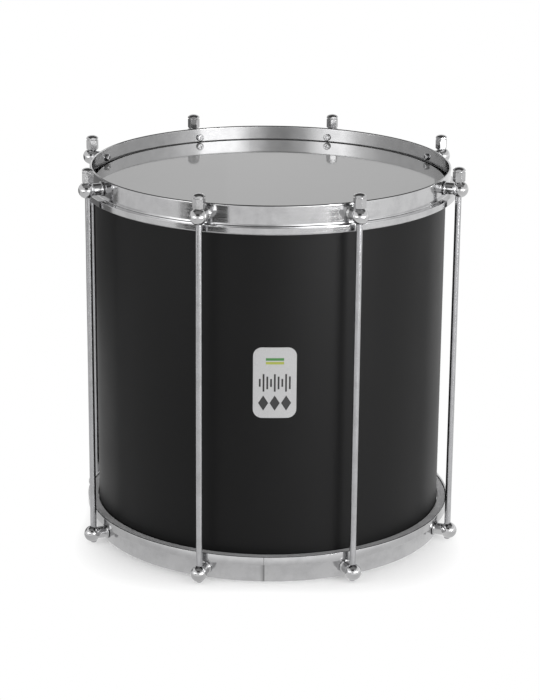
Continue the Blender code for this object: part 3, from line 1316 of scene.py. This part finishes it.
@dataclass(frozen=True)
class TuningNut:
    """A tall capped hexagon with a groove, a domed top and a chamfered foot."""

    flats: float = 0.0094
    edge_round: float = 0.0003
    edge_steps: int = 4
    dome_radius: float = 0.0043
    dome_rise: float = 0.0011
    dome_steps: int = 6
    shoulder_slope: float = 1.1
    groove_drop: float = 0.0036
    groove_width: float = 0.0006
    groove_depth: float = 0.00025
    groove_slope: float = 0.3
    groove_round: float = 0.0002
    foot_chamfer: float = 0.0013
    foot_slope: float = 0.8
    foot_round: float = 0.0003
    outline_spare: float = 0.0004
    crown: float = 0.0025
    steps: int = 96
    rest_turns: tuple[int, ...] = (-7, 12, -7, 3, 8, -24, 11, -2)

    def outline(self, height: float, corner: float) -> list[Point]:
        """The nut's turned outline.

        Args:
            height: The nut's height.
            corner: Radius of the hexagon's corners.

        Returns:
            The outline's points, from the top to the foot.
        """
        flat = self.flats / 2
        rise, radius = self.dome_rise, self.dome_radius
        ball = (radius * radius + rise * rise) / (2 * rise)
        rim = 90.0 - math.degrees(math.asin(radius / ball))
        dome = arc((0.0, height - ball), ball, 90.0, rim, self.dome_steps)
        dome[0] = (0.0, height)
        foot = flat - self.foot_chamfer / 2
        outer = corner + self.outline_spare
        upper = height - self.groove_drop + self.groove_width / 2
        lower = height - self.groove_drop - self.groove_width / 2
        bed = flat - self.groove_depth
        lip = (outer - bed) * self.groove_slope
        sides = rounded(
            [
                (*dome[-1], 0.0),
                (outer, dome[-1][1] - (outer - radius) * self.shoulder_slope, 0.0),
                (outer, upper + lip, 0.0),
                (bed, upper, self.groove_round),
                (bed, lower, self.groove_round),
                (outer, lower - lip, 0.0),
                (outer, (outer - foot) * self.foot_slope, 0.0),
                (foot, 0.0, self.foot_round),
                (0.0, 0.0, 0.0),
            ],
            closed=False,
        )
        return dome[:-1] + sides

    def mesh(self, rod: TensionRod) -> bpy.types.Mesh:
        """One nut: a hexagon trimmed by the turned outline, with a blind bore.

        Args:
            rod: The rod that it turns on.

        Returns:
            The mesh, standing on its foot.
        """
        low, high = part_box("tuning_nut_1")
        height = high.z - low.z
        corner = self.flats / 2 / math.cos(math.pi / 6)
        corners = [(*spot, self.edge_round) for spot in circle(corner, 6)]
        hexagon = rounded(corners, closed=True, steps=self.edge_steps)
        blank = prism("tuning_nut", hexagon, -BEYOND, height + BEYOND)
        envelope = turned("nut_outline", self.outline(height, corner), self.steps)
        bore = rod.bore(-2 * BEYOND, height - self.crown)
        return carve(blank, [(envelope, IN_PLACE, "INTERSECT"), (bore, IN_PLACE, "DIFFERENCE")])


@dataclass(frozen=True)
class Ware:
    """A mesh and its finish, made once and placed many times."""

    mesh: bpy.types.Mesh
    material: bpy.types.Material


@dataclass
class Stations:
    """The tensioning hardware, at every station: two lugs with their screws, a rod and its nut."""

    pattern: Pattern
    lug_depth: float = 0.00855
    lug_base: float = 0.1567
    screw_turn: float = 37.0
    screw_lead: float = 20.0

    def add_lug(self, number: int, end: End, lug: Ware, screw: Ware) -> None:
        """Place a lug and its screw, whose head is turned its own way.

        Args:
            number: The station's number.
            end: The drum's end.
            lug: The lug's mesh and finish.
            screw: The screw's mesh and finish.
        """
        side, body = end.side, end.body
        place = self.pattern.outward(number, self.lug_base, self.lug_depth, end)
        node = f"{side}_lug_{number}"
        add_piece(f"{side}_ball_lug_{number}", lug.mesh, lug.material, place, body, node)
        turn = Matrix.Rotation(math.radians(self.screw_turn * number + self.screw_lead * end.value), 4, "Z")
        place = self.pattern.outward(number, LugScrew.seat_radius, self.lug_depth, end) @ turn
        node = f"{side}_lug_screw_{number}"
        add_piece(f"{side}_pan_screw_{number}", screw.mesh, screw.material, place, body, node)

    def add_rod(self, number: int, rod: Ware, nut: Ware) -> None:
        """Place a rod and its nut, which has its own rest turn.

        Args:
            number: The station's number.
            rod: The rod's mesh and finish.
            nut: The nut's mesh and finish.
        """
        place = self.pattern.upright(number, 0.0)
        node = f"tension_rod_{number}"
        add_piece(f"zinc_rod_{number}", rod.mesh, rod.material, place, "drum", node)
        turns = TuningNut.rest_turns
        turn = Matrix.Rotation(math.radians(turns[(number - 1) % len(turns)]), 4, "Z")
        place = self.pattern.upright(number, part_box("tuning_nut_1")[0].z) @ turn
        body, node = f"tuning_nut_body_{number}", f"tuning_nut_{number}"
        add_piece(f"hex_nut_{number}", nut.mesh, nut.material, place, body, node)

    def build(self) -> None:
        """Build each mesh once and place it at every station."""
        rod, screw, nut = TensionRod(), LugScrew(), TuningNut()
        lug = BallLug(self.pattern.circle_radius - self.lug_base)
        lug_ware = Ware(lug.mesh(rod, screw), LUG_CHROME.material())
        screw_ware = Ware(screw.mesh(self.lug_base), SCREW_ZINC.material())
        rod_ware = Ware(rod.mesh(), ROD_ZINC.material())
        nut_ware = Ware(nut.mesh(rod), NUT_CHROME.material())
        for number in self.pattern.numbers():
            for end in End:
                self.add_lug(number, end, lug_ware, screw_ware)
            self.add_rod(number, rod_ware, nut_ware)


class Outline(Enum):
    """Outlines of the badge's flat shapes."""

    SQUARE = "square"
    ROUNDED = "rounded"
    LOZENGE = "lozenge"


@dataclass(frozen=True)
class Patch:
    """A flat shape of the badge, placed by its middle."""

    across: float
    level: float
    half_wide: float
    half_tall: float
    outline: Outline = Outline.SQUARE
    corner: float = 0.0
    least: float = 0.00002

    def half_height(self, offset: float) -> float:
        """Half of the shape's height beside its middle line.

        Args:
            offset: Distance from the middle line.

        Returns:
            Half of the height there.
        """
        if self.outline is Outline.SQUARE:
            return self.half_tall
        if self.outline is Outline.LOZENGE:
            return max(self.half_tall * (1 - abs(offset) / self.half_wide), self.least)
        over = max(0.0, abs(offset) - (self.half_wide - self.corner))
        return self.half_tall - self.corner + math.sqrt(max(self.corner**2 - over**2, NEARLY_ZERO))


@dataclass
class Badge:
    """A foil plate on the shell's front, printed with plain bars, lozenges and stripes."""

    width: float = 0.036
    height: float = 0.061
    corner: float = 0.0075
    azimuth: float = -90.85
    level: float = 0.1757
    thickness: float = 0.0003
    ink_thickness: float = 0.00004
    glue_gap: float = 0.00005
    ink_gap: float = 0.00002
    columns: int = 40
    bar_count: int = 9
    bar_spacing: float = 0.0031
    bar_half_wide: float = 0.00075
    bar_half_tall: float = 0.0034
    bar_step: float = 0.0021
    lozenge_spacing: float = 0.0095
    lozenge_half_wide: float = 0.0042
    lozenge_half_tall: float = 0.0066
    lozenge_level: float = -0.0175
    stripe_half_wide: float = 0.0075
    stripe_half_tall: float = 0.0011
    green_level: float = 0.0203
    ochre_level: float = 0.0171

    def wrapped(self, name: str, patches: Sequence[Patch], inner: float, thickness: float) -> bpy.types.Mesh:
        """Wrap flat shapes round the shell as thin closed plates.

        Args:
            name: The mesh's name.
            patches: The flat shapes.
            inner: Radius of the plates' back.
            thickness: Their thickness.

        Returns:
            The mesh.
        """
        solid = bmesh.new()
        base = math.radians(self.azimuth)
        outer = inner + thickness
        for patch in patches:
            rings = []
            for column in range(self.columns + 1):
                offset = -patch.half_wide * math.cos(math.pi * column / self.columns)
                angle = base + (patch.across + offset) / inner
                middle, half = self.level + patch.level, patch.half_height(offset)
                low, high = middle - half, middle + half
                x, y = math.cos(angle), math.sin(angle)
                ring = ((inner, low), (outer, low), (outer, high), (inner, high))
                rings.append([solid.verts.new((radius * x, radius * y, level)) for radius, level in ring])
            for first, second in zip(rings, rings[1:]):
                for side in range(4):
                    after = (side + 1) % 4
                    solid.faces.new([first[side], first[after], second[after], second[side]])
            solid.faces.new(rings[0])
            solid.faces.new(rings[-1])
        return finish_mesh(to_mesh(name, solid))

    def bars(self) -> list[Patch]:
        """The upright bars, in three heights by turns.

        Returns:
            The bars' shapes.
        """
        patches = []
        for index in range(self.bar_count):
            across = (index - self.bar_count // 2) * self.bar_spacing
            tall = self.bar_half_tall + self.bar_step * (index * 5 % 3)
            patches.append(Patch(across, 0.0, self.bar_half_wide, tall))
        return patches

    def lozenges(self) -> list[Patch]:
        """The three lozenges in a row."""
        size = (self.lozenge_half_wide, self.lozenge_half_tall, Outline.LOZENGE)
        return [Patch(place * self.lozenge_spacing, self.lozenge_level, *size) for place in (-1, 0, 1)]

    def stripe(self, level: float) -> list[Patch]:
        """One level stripe."""
        return [Patch(0.0, level, self.stripe_half_wide, self.stripe_half_tall)]

    def build(self) -> None:
        """Build the plate and its print."""
        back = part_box("shell")[1].x + self.glue_gap
        ink_back = back + self.thickness + self.ink_gap
        plate = Patch(0.0, 0.0, self.width / 2, self.height / 2, Outline.ROUNDED, self.corner)
        layers = (
            ("badge_plate", BADGE_FOIL, [plate], back, self.thickness),
            ("badge_bars", BADGE_BLACK, self.bars(), ink_back, self.ink_thickness),
            ("badge_lozenges", BADGE_BLACK, self.lozenges(), ink_back, self.ink_thickness),
            ("badge_green_stripe", BADGE_GREEN, self.stripe(self.green_level), ink_back, self.ink_thickness),
            ("badge_ochre_stripe", BADGE_OCHRE, self.stripe(self.ochre_level), ink_back, self.ink_thickness),
        )
        for name, finish, patches, inner, thickness in layers:
            mesh = self.wrapped(name, patches, inner, thickness)
            add_piece(name, mesh, finish.material(), IN_PLACE, "drum")


@dataclass(frozen=True)
class Panel:
    """A lamp or card that faces the drum: azimuth to the camera's right, and brightness, 1 for white."""

    name: str
    azimuth: float
    elevation: float
    distance: float
    size: Point
    level: float


@dataclass
class Studio:
    """The white studio: camera, floor, lamps, and cards for the chrome to reflect."""

    azimuth: float = -2.70
    elevation: float = 17.375
    distance: float = 2.02006
    aim_height: float = 0.160
    yaw: float = -0.023
    pitch: float = -0.107
    roll: float = -0.476
    lens: float = 116.77
    sensor_width: float = 36.0
    floor_radius: float = 7.0
    floor_thickness: float = 0.02
    floor_steps: int = 96
    floor_albedo: float = 0.80
    shadow_fade: Point = (0.150, 0.179)
    shadow_widening: float = 0.08
    shadow_corner: float = 0.035
    side_glow: Point = (0.88, 1.06)
    glow_range: Point = (0.0, 0.5)
    floor_glow: tuple[Point, ...] = (
        *((0.150, 0.90), (0.205, 0.76), (0.211, 0.95), (0.214, 1.20)),
        *((0.232, 1.20), (0.244, 1.10), (0.252, 1.00), (0.500, 0.98)),
    )
    fill_level: float = 0.50
    card_thickness: float = 0.004
    sweep_radius: float = 1.4
    sweep_rise: tuple[float, float, float] = (0.12, 1.0, 1.35)
    sweep_steps: int = 180
    bright_rise: Point = (0.45, 0.60)
    direct_depth: float = 1.5
    sweep_levels: tuple[Point, ...] = (
        *((-180.0, 1.00), (-150.0, 0.75), (-130.0, 0.95), (-85.0, 1.10), (-67.0, 1.90)),
        *((-50.0, 4.40), (-41.0, 4.10), (-24.0, 1.55), (-10.0, 0.75), (0.0, 0.90)),
        *((12.0, 2.30), (24.0, 4.60), (32.0, 5.00), (49.5, 5.00), (52.0, 2.50)),
        *((73.0, 1.60), (91.0, 1.30), (140.0, 1.25), (155.0, 0.85), (180.0, 1.00)),
    )
    softboxes: tuple[Panel, ...] = (
        Panel("left_softbox", -60.0, 42.0, 1.9, (1.2, 1.2), 1.8),
        Panel("right_softbox", 55.0, 42.0, 1.9, (1.2, 1.2), 2.4),
        Panel("top_softbox", 180.0, 80.0, 2.2, (2.0, 2.0), 1.4),
    )
    cards: tuple[Panel, ...] = (
        Panel("ceiling_flag", 0.0, 90.0, 2.2, (4.4, 4.4), 0.30),
        Panel("back_flag", 180.0, 59.0, 1.8, (3.6, 2.2), 0.08),
        Panel("front_flag", -6.0, 36.0, 1.2, (0.85, 0.50), 0.06),
        Panel("low_light", 43.0, 5.5, 1.3, (0.40, 0.34), 16.0),
        Panel("left_stand", -36.4, -2.9, 0.95, (0.42, 0.10), 0.03),
        Panel("left_stand_edge", -51.0, -2.9, 0.95, (0.08, 0.10), 0.40),
        Panel("right_stand", 41.5, -2.9, 0.95, (0.22, 0.10), 0.42),
        Panel("side_stand", -137.0, -1.6, 0.70, (0.95, 0.32), 0.20),
    )

    def bearing(self, azimuth: float, elevation: float) -> Vector:
        """Direction from the drum.

        Args:
            azimuth: Degrees to the right of the camera.
            elevation: Degrees above the horizon.

        Returns:
            The direction, of length one.
        """
        turn = math.radians(self.azimuth + azimuth)
        rise = math.radians(elevation)
        return Vector((math.sin(turn) * math.cos(rise), -math.cos(turn) * math.cos(rise), math.sin(rise)))

    def add_camera(self) -> None:
        """Add the camera at the photograph's viewing angle."""
        back = self.bearing(0.0, self.elevation)
        turn = math.radians(self.azimuth)
        right = Vector((math.cos(turn), math.sin(turn), 0.0))
        forward = -back
        up = right.cross(forward)
        turned_by = Matrix.Rotation(math.radians(self.yaw), 3, up)
        forward, right = turned_by @ forward, turned_by @ right
        turned_by = Matrix.Rotation(math.radians(self.pitch), 3, right)
        forward, up = turned_by @ forward, turned_by @ up
        turned_by = Matrix.Rotation(math.radians(self.roll), 3, forward)
        right, up = turned_by @ right, turned_by @ up
        place = Matrix((right, up, -forward)).transposed().to_4x4()
        place.translation = Vector((0.0, 0.0, self.aim_height)) + back * self.distance
        camera = add_object("camera", bpy.data.cameras.new("camera"))
        camera.data.lens = self.lens
        camera.data.sensor_width = self.sensor_width
        camera.matrix_world = place
        bpy.context.scene.camera = camera

    def face_drum(self, item: bpy.types.Object, panel: Panel) -> None:
        """Put a lamp or card in its place.

        Args:
            item: The lamp or card.
            panel: Where it stands.
        """
        out = self.bearing(panel.azimuth, panel.elevation)
        item.location = Vector((0.0, 0.0, self.aim_height)) + out * panel.distance
        item.rotation_mode = "QUATERNION"
        item.rotation_quaternion = out.to_track_quat("Z", "Y")

    def add_softbox(self, panel: Panel) -> None:
        """Add a softbox, which lights the drum but isn't seen in it.

        Args:
            panel: Its place, size and brightness.
        """
        data = bpy.data.lights.new(panel.name, "AREA")
        data.shape = "RECTANGLE"
        data.size, data.size_y = panel.size
        data.energy = panel.level * math.pi * panel.size[0] * panel.size[1]
        lamp = add_object(panel.name, data)
        lamp.visible_camera = False
        lamp.visible_glossy = False
        self.face_drum(lamp, panel)

    @staticmethod
    def show_in_reflections(
        name: str, mesh: bpy.types.Mesh, material: bpy.types.Material
    ) -> bpy.types.Object:
        """Add a studio piece that only reflections see.

        Args:
            name: The piece's name.
            mesh: Its mesh.
            material: Its glow.

        Returns:
            The object.
        """
        mesh.materials.append(material)
        card = add_object(name, mesh)
        card.visible_camera = False
        card.visible_diffuse = False
        card.visible_shadow = False
        card.visible_transmission = False
        return card

    def add_card(self, panel: Panel) -> None:
        """Add a plain card that only reflections see.

        Args:
            panel: Its place, size and brightness.
        """
        half = self.card_thickness / 2
        mesh = prism(panel.name, rectangle(*panel.size), -half, half)
        bench = MaterialBench(panel.name)
        material = bench.surface(bench.glow(panel.level))
        self.face_drum(self.show_in_reflections(panel.name, mesh, material), panel)

    def add_sweep(self) -> None:
        """Add the round sweep of diffusers, with a lamp level for each direction.

        Above bright_rise, what mirrors the sweep directly sees it no brighter than white, so that
        the head doesn't clip from any side. The hoop still shows its lamps by way of the head.
        """
        low, full, high = self.sweep_rise
        inner, outer = self.sweep_radius, self.sweep_radius + self.card_thickness
        section = [(inner, low), (outer, low), (outer, high), (inner, high)]
        mesh = turned("light_sweep", section, self.sweep_steps)
        bench = MaterialBench("light_sweep")
        x, y, z = bench.parts(bench.place())
        azimuth = bench.product(bench.math("ARCTAN2", x, bench.product(y, -1.0)), math.degrees(1.0))
        bearing = bench.math("SUBTRACT", azimuth, self.azimuth)
        level = bench.ramp(bearing, self.sweep_levels, -180.0, 180.0)
        extra = bench.math("MAXIMUM", bench.math("SUBTRACT", level, 1.0), 0.0)
        once = bench.math("LESS_THAN", bench.ray("Glossy Depth"), self.direct_depth)
        dimmed = bench.product(extra, bench.span(z, 0.0, 1.0, *self.bright_rise), once)
        glow = bench.glow(bench.math("SUBTRACT", level, dimmed))
        clear = bench.add("ShaderNodeBsdfTransparent").outputs[0]
        material = bench.surface(bench.merge(bench.span(z, 1.0, 0.0, full, high), clear, glow))
        self.show_in_reflections("light_sweep", mesh, material)

    def add_world(self) -> None:
        """Light the studio evenly and show a white backdrop."""
        world = bpy.data.worlds.new("white_studio")
        bpy.context.scene.world = world
        world.use_nodes = True
        bench = NodeBench(world.node_tree)
        fill = bench.tree.nodes["Background"]
        bench.feed(fill.inputs["Color"], WHITE)
        bench.feed(fill.inputs["Strength"], self.fill_level)
        backdrop = bench.add("ShaderNodeBackground", {"Color": WHITE, "Strength": 1.0})
        surface = bench.merge(bench.backdrop_ray(), fill.outputs[0], backdrop.outputs[0])
        bench.feed(bench.tree.nodes["World Output"].inputs["Surface"], surface)

    def floor_material(self) -> bpy.types.Material:
        """The floor's paint in the drum's shadow, fading into plain white.

        Returns:
            The material.
        """
        bench = MaterialBench("pale_floor")
        albedo = (self.floor_albedo, self.floor_albedo, self.floor_albedo, 1.0)
        paint = bench.add("ShaderNodeBsdfDiffuse", {"Color": albedo}).outputs[0]
        distance = bench.vector("LENGTH", bench.place())
        outward = bench.vector("NORMALIZE", bench.place())
        rightward = bench.vector("DOT_PRODUCT", outward, self.bearing(90.0, 0.0))
        forward = bench.vector("DOT_PRODUCT", outward, self.bearing(0.0, 0.0))
        widening = bench.product(rightward, rightward, self.shadow_widening)
        reach = bench.product(distance, bench.math("ADD", widening, 1.0))
        corner = bench.product(rightward, forward)
        near, far = self.shadow_fade
        width = bench.math("ADD", bench.product(corner, corner, 4 * self.shadow_corner), far - near)
        share = bench.math("DIVIDE", bench.math("SUBTRACT", reach, near), width)
        bare = bench.span(share, 0.0, 1.0, 0.0, 1.0)
        side = bench.span(rightward, *self.side_glow, -1.0, 1.0)
        level = bench.product(bench.ramp(distance, self.floor_glow, *self.glow_range), side)
        glossy = bench.ray("Is Glossy Ray")
        extra = bench.product(glossy, bench.math("SUBTRACT", level, 1.0))
        lit = bench.product(bench.math("MAXIMUM", bare, glossy), bench.backdrop_ray())
        return bench.surface(bench.merge(lit, paint, bench.glow(bench.math("ADD", extra, 1.0))))

    def add_floor(self) -> None:
        """Add the pale floor, which keeps the drum's shadow."""
        mesh = prism("floor", circle(self.floor_radius, self.floor_steps), -self.floor_thickness, 0.0)
        mesh.materials.append(self.floor_material())
        add_object("floor", mesh)

    def build(self) -> None:
        """Set up the studio."""
        self.add_camera()
        self.add_world()
        self.add_floor()
        for softbox in self.softboxes:
            self.add_softbox(softbox)
        self.add_sweep()
        for card in self.cards:
            self.add_card(card)
        bpy.context.scene.view_settings.view_transform = "Standard"


def main() -> None:
    """Build the drum and its studio, piece by piece."""
    logging.basicConfig(level=logging.INFO, format="%(name)s: %(message)s")
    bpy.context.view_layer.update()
    pattern = Pattern.from_frame()
    Studio().build()
    Shell().build()
    Head(pattern).build()
    Hoop(pattern).build()
    Stations(pattern).build()
    Badge().build()


if __name__ == "__main__":
    main()
